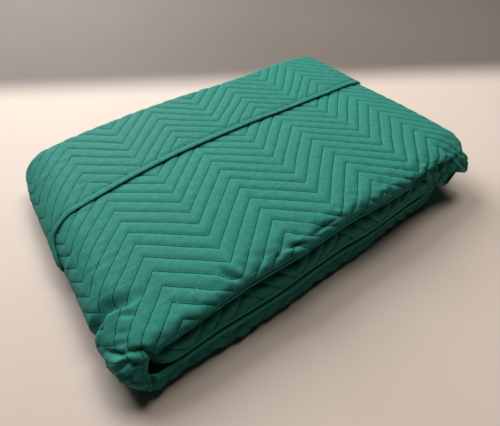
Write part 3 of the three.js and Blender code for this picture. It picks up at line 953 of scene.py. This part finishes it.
# Thread: one short bar for each stitch, let into the cloth at both ends
THREAD = 0.3
BAR_LENGTH = 0.72 * STITCH
BAR_ALONG = (-0.5, -0.28, 0.28, 0.5)
BAR_LIFT = (-0.4, 0.12, 0.12, -0.4)
BAR_WIDTH = (0.4, 1.0, 1.0, 0.4)
BAR_SIDES = 4
BAR_RINGS = len(BAR_ALONG)
BAR_POINTS = BAR_RINGS * BAR_SIDES


# The points of the bars on a face, ring by ring
def bar_places(face, middles, ways):
    side = np.stack([-ways[:, 1], ways[:, 0]], axis=-1)
    face_lift = cloth_lift(face, middles[:, 0], middles[:, 1])
    rings = []
    for along, lift, width in zip(BAR_ALONG, BAR_LIFT, BAR_WIDTH):
        centre = middles + ways * along * BAR_LENGTH
        for k in range(BAR_SIDES):
            turn = 2 * math.pi * k / BAR_SIDES
            spot = centre + side * (THREAD * width * math.cos(turn))
            height = face_lift + lift + THREAD * width * math.sin(turn)
            rings.append(face_place(face, spot[:, 0], spot[:, 1], height))
    return np.stack(rings, axis=1)


# The sides and the two ends of one bar
def bar_faces():
    faces = []
    for ring in range(BAR_RINGS - 1):
        for k in range(BAR_SIDES):
            here = ring * BAR_SIDES + k
            beside = ring * BAR_SIDES + (k + 1) % BAR_SIDES
            faces.append((here, beside, beside + BAR_SIDES, here + BAR_SIDES))
    faces.append(tuple(range(BAR_SIDES))[::-1])
    faces.append(tuple(range(BAR_POINTS - BAR_SIDES, BAR_POINTS)))
    return np.array(faces)


def make_thread():
    sewn = [
        ("cover", *stitch_lines("cover", SEWN_FREE, SEWN_BOTTOM, LOWEST_STITCH, UNDER_FLAP)),
        ("flap", *stitch_lines("flap", SEWN_FREE, SEWN_BOTTOM, FLAP_SEAM, SEWN_BACK)),
        ("flap", *hem_stitches("flap", SEWN_FREE, SEWN_BOTTOM)),
        ("cover", *stitch_lines("cover", SEWN_BOTTOM, SEWN_HIDDEN, LOWEST_STITCH, COVER_LYING)),
        ("flap", *stitch_lines("flap", SEWN_BOTTOM, SEWN_HIDDEN, BACK_LYING, SEWN_BACK)),
        ("cover", *stitch_lines("cover", U_TIGHT, SEWN_MIDDLE, COVER_LYING, FLAP_HEM_Y)),
        ("flap", *stitch_lines("flap", U_TIGHT, SEWN_MIDDLE, FLAP_SEAM, BACK_LYING)),
        ("cover", *hem_stitches("cover", SEWN_FREE, SEWN_HIDDEN)),
    ]
    places = np.concatenate([bar_places(*stitches) for stitches in sewn])
    first_points = np.arange(len(places)) * BAR_POINTS
    faces = (bar_faces()[None, :, :] + first_points[:, None, None]).reshape(-1, BAR_SIDES)
    piece = new_mesh("quilting_thread", places.reshape(-1, 3), faces.tolist())
    piece.data.shade_smooth()
    return piece


# A finish with its nodes, its links and its shader
def new_finish(name, shader_values):
    finish = bpy.data.materials.new(name)
    finish.use_nodes = True
    nodes = finish.node_tree.nodes
    shader = nodes["Principled BSDF"]
    set_values(shader, shader_values)
    return finish, nodes, finish.node_tree.links, shader


def set_values(node, values):
    for socket, value in values.items():
        node.inputs[socket].default_value = value


def add_node(nodes, kind, values):
    node = nodes.new(kind)
    set_values(node, values)
    return node


def add_math(nodes, kind, operation, values):
    node = nodes.new(kind)
    node.operation = operation
    set_values(node, values)
    return node


# A mark that the mesh carries
def add_mark(nodes, name):
    mark = nodes.new("ShaderNodeAttribute")
    mark.attribute_name = name
    return mark


# A change between two tones, each with its place
def add_tones(nodes, tones):
    change = nodes.new("ShaderNodeValToRGB")
    for stop, (place, colour) in zip(change.color_ramp.elements, tones):
        stop.position = place
        stop.color = colour
    return change


# The tone of the cloth: mottled, with painted shade that makes the stitch lines darker and less red, and a
# painted highlight that makes the skirt's hem edges paler
CLOTH_TONES = ((0.3, (0.029, 0.202, 0.163, 1.0)), (0.7, (0.046, 0.266, 0.217, 1.0)))
HIGHLIGHT_GAIN = 0.9


def cloth_tone_and_painted_light(nodes, links, face):
    mottle = add_node(nodes, "ShaderNodeTexNoise", {"Scale": 130.0, "Detail": 5.0, "Roughness": 0.65})
    links.new(face.outputs["UV"], mottle.inputs["Vector"])
    tone = add_tones(nodes, CLOTH_TONES)
    links.new(mottle.outputs["Fac"], tone.inputs["Fac"])

    # Painted shade: the stitch lines and their holes are darkened and made less red, as shade deep in the
    # seam valleys
    near = add_mark(nodes, "near_stitch")
    line = add_node(nodes, "ShaderNodeMapRange", {"From Min": 0.88, "From Max": 0.97})
    links.new(near.outputs["Fac"], line.inputs["Value"])
    counted = add_mark(nodes, "stitch_count")
    between = add_math(nodes, "ShaderNodeMath", "PINGPONG", {1: 0.5})
    links.new(counted.outputs["Fac"], between.inputs[0])
    hole_shade_range = {"From Min": 0.12, "From Max": 0.26, "To Min": 0.96, "To Max": 0.45}
    hole_shade = add_node(nodes, "ShaderNodeMapRange", hole_shade_range)
    links.new(between.outputs["Value"], hole_shade.inputs["Value"])
    seam_shade = add_math(nodes, "ShaderNodeMath", "MULTIPLY", {})
    links.new(line.outputs["Result"], seam_shade.inputs[0])
    links.new(hole_shade.outputs["Result"], seam_shade.inputs[1])

    # Painted highlight: the skirt's hem edges are made paler, where light catches them
    edge = add_mark(nodes, "painted_hem_highlight")
    highlighted = add_math(nodes, "ShaderNodeMath", "MULTIPLY_ADD", {1: HIGHLIGHT_GAIN, 2: 1.0})
    links.new(edge.outputs["Fac"], highlighted.inputs[0])
    left = add_math(nodes, "ShaderNodeMath", "SUBTRACT", {})
    links.new(highlighted.outputs["Value"], left.inputs[0])
    links.new(seam_shade.outputs["Value"], left.inputs[1])
    shade = add_math(nodes, "ShaderNodeVectorMath", "SCALE", {})
    links.new(tone.outputs["Color"], shade.inputs[0])
    links.new(left.outputs["Value"], shade.inputs["Scale"])
    seam_shade_red = add_node(nodes, "ShaderNodeMapRange", {"To Min": 1.0, "To Max": 0.1})
    links.new(seam_shade.outputs["Value"], seam_shade_red.inputs["Value"])
    seam_shade_channels = add_node(nodes, "ShaderNodeCombineXYZ", {"Y": 1.0, "Z": 1.0})
    links.new(seam_shade_red.outputs["Result"], seam_shade_channels.inputs["X"])
    shaded_tone = add_math(nodes, "ShaderNodeVectorMath", "MULTIPLY", {})
    links.new(shade.outputs["Vector"], shaded_tone.inputs[0])
    links.new(seam_shade_channels.outputs["Vector"], shaded_tone.inputs[1])
    return shaded_tone.outputs["Vector"]


# The fine relief of the cloth: its weave, and a soft crumpling along the strip
def cloth_relief(nodes, links, face):
    threads = add_math(nodes, "ShaderNodeMath", "MULTIPLY", {})
    for index, direction in enumerate("XY"):
        bands = add_node(nodes, "ShaderNodeTexWave", {"Scale": 520.0, "Distortion": 0.6})
        bands.bands_direction = direction
        links.new(face.outputs["UV"], bands.inputs["Vector"])
        links.new(bands.outputs["Fac"], threads.inputs[index])
    weave = add_node(nodes, "ShaderNodeBump", {"Strength": 0.25, "Distance": 0.0002})
    links.new(threads.outputs["Value"], weave.inputs["Height"])
    stretch = add_node(nodes, "ShaderNodeMapping", {"Scale": (45.0, 300.0, 1.0)})
    links.new(face.outputs["UV"], stretch.inputs["Vector"])
    crumple = add_node(nodes, "ShaderNodeTexNoise", {"Scale": 1.0, "Detail": 3.0})
    links.new(stretch.outputs["Vector"], crumple.inputs["Vector"])
    softness = add_node(nodes, "ShaderNodeBump", {"Strength": 0.55, "Distance": 0.0006})
    links.new(crumple.outputs["Fac"], softness.inputs["Height"])
    links.new(weave.outputs["Normal"], softness.inputs["Normal"])
    return softness.outputs["Normal"]


def cloth_finish():
    sheen_and_shine = {
        "Roughness": 0.58,
        "Sheen Weight": 0.02,
        "Sheen Roughness": 0.4,
        "Sheen Tint": (0.4, 0.95, 0.85, 1.0),
        "Specular IOR Level": 0.08,
        "Specular Tint": (0.1, 1.0, 0.88, 1.0),
    }
    finish, nodes, links, shader = new_finish("teal_cotton", sheen_and_shine)
    face = nodes.new("ShaderNodeUVMap")
    face.uv_map = "weave"
    links.new(cloth_tone_and_painted_light(nodes, links, face), shader.inputs["Base Color"])
    links.new(cloth_relief(nodes, links, face), shader.inputs["Normal"])
    return finish


THREAD_TONES = ((0.0, (0.006, 0.1, 0.08, 1.0)), (1.0, (0.012, 0.16, 0.128, 1.0)))


def thread_finish():
    finish, nodes, links, shader = new_finish("teal_thread", {"Roughness": 0.6, "Specular IOR Level": 0.0})
    place = nodes.new("ShaderNodeTexCoord")
    twist = add_node(nodes, "ShaderNodeTexNoise", {"Scale": 900.0})
    links.new(place.outputs["Object"], twist.inputs["Vector"])
    tone = add_tones(nodes, THREAD_TONES)
    links.new(twist.outputs["Fac"], tone.inputs["Fac"])
    links.new(tone.outputs["Color"], shader.inputs["Base Color"])
    return finish


# The paper is darker from a soft line behind the bundle on: painted shade, where less light reaches
PAPER_TONES = ((0.35, (0.62, 0.535, 0.475, 1.0)), (0.65, (0.65, 0.565, 0.505, 1.0)))
FAR_WAY = (0.502, 0.865, 0.0)
FAR_SHADE_START = 0.315
FAR_SHADE_END = 0.46
FAR_SHADE_TONE = 0.22


def paper_finish():
    finish, nodes, links, shader = new_finish("pale_paper", {"Roughness": 0.75})
    place = nodes.new("ShaderNodeTexCoord")
    fibre = add_node(nodes, "ShaderNodeTexNoise", {"Scale": 3.0, "Detail": 4.0})
    links.new(place.outputs["Object"], fibre.inputs["Vector"])
    tone = add_tones(nodes, PAPER_TONES)
    links.new(fibre.outputs["Fac"], tone.inputs["Fac"])
    # Painted shade: the far paper is darker, where less light reaches it
    away = add_math(nodes, "ShaderNodeVectorMath", "DOT_PRODUCT", {1: FAR_WAY})
    links.new(place.outputs["Object"], away.inputs[0])
    far_shade_range = {"From Min": FAR_SHADE_START, "From Max": FAR_SHADE_END, "To Min": 1.0, "To Max": FAR_SHADE_TONE}
    far_shade = add_node(nodes, "ShaderNodeMapRange", far_shade_range)
    far_shade.interpolation_type = "SMOOTHSTEP"
    links.new(away.outputs["Value"], far_shade.inputs["Value"])
    shade = add_math(nodes, "ShaderNodeVectorMath", "SCALE", {})
    links.new(tone.outputs["Color"], shade.inputs[0])
    links.new(far_shade.outputs["Result"], shade.inputs["Scale"])
    links.new(shade.outputs["Vector"], shader.inputs["Base Color"])
    return finish


# The sweep of paper under and behind the bundle, a little below it
SWEEP_SIZE = 6.0
SWEEP_Z = -0.0006


def make_sweep():
    bpy.ops.object.select_all(action="DESELECT")
    bpy.ops.mesh.primitive_plane_add(size=SWEEP_SIZE, location=(0.0, 0.0, SWEEP_Z))
    sweep = bpy.context.object
    sweep.name = "paper_sweep"
    bpy.ops.object.transform_apply(location=True)
    sweep.data.materials.append(paper_finish())


# The lights stand at one distance from the bundle: name, way to it, width, power and colour
LIGHT_DISTANCE = 2.6
LIGHTS = (
    ("back_softbox", (-0.05, 1.2, 1.0), 1.7, 90.0, (1.0, 0.98, 0.97)),
    ("right_softbox", (0.5, 0.3, 1.0), 1.2, 38.0, (1.0, 0.93, 0.85)),
)


def make_light(name, way, width, power, colour):
    lamp = bpy.data.lights.new(name, "AREA")
    lamp.shape = "SQUARE"
    lamp.size = width
    lamp.energy = power
    lamp.color = colour
    holder = bpy.data.objects.new(name, lamp)
    place = np.array(way) / np.linalg.norm(way) * LIGHT_DISTANCE
    holder.location = place
    flat = math.hypot(place[0], place[1])
    holder.rotation_euler = (math.atan2(flat, place[2]), 0.0, math.atan2(place[0], -place[1]))
    bpy.context.scene.collection.objects.link(holder)


def make_lights():
    for light in LIGHTS:
        make_light(*light)
    bpy.context.scene.view_settings.view_transform = "Standard"
    world = bpy.data.worlds.new("studio")
    world.use_nodes = True
    bpy.context.scene.world = world
    back = world.node_tree.nodes["Background"]
    set_values(back, {"Color": (1.0, 0.96, 0.93, 1.0), "Strength": 0.01})


# The camera as the photograph was taken
EYE = (-0.2768, -0.3937, 0.4165)
AZIMUTH = -35.1
ELEVATION = 44.6
LENS = 27.65
SENSOR = 36.0
NEAREST = 0.01


def make_camera():
    camera = bpy.data.cameras.new("camera")
    camera.sensor_width = SENSOR
    camera.sensor_fit = "HORIZONTAL"
    camera.lens = LENS
    camera.clip_start = NEAREST
    holder = bpy.data.objects.new("camera", camera)
    holder.location = EYE
    holder.rotation_euler = (math.radians(90.0 - ELEVATION), 0.0, math.radians(AZIMUTH))
    bpy.context.scene.collection.objects.link(holder)
    bpy.context.scene.camera = holder


make_camera()
make_lights()
make_sweep()
bedspread = make_cloth()
bedspread.data.materials.append(cloth_finish())
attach(bedspread, "root")
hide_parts("quilted_cloth")
thread = make_thread()
thread.data.materials.append(thread_finish())
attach(thread, "root")
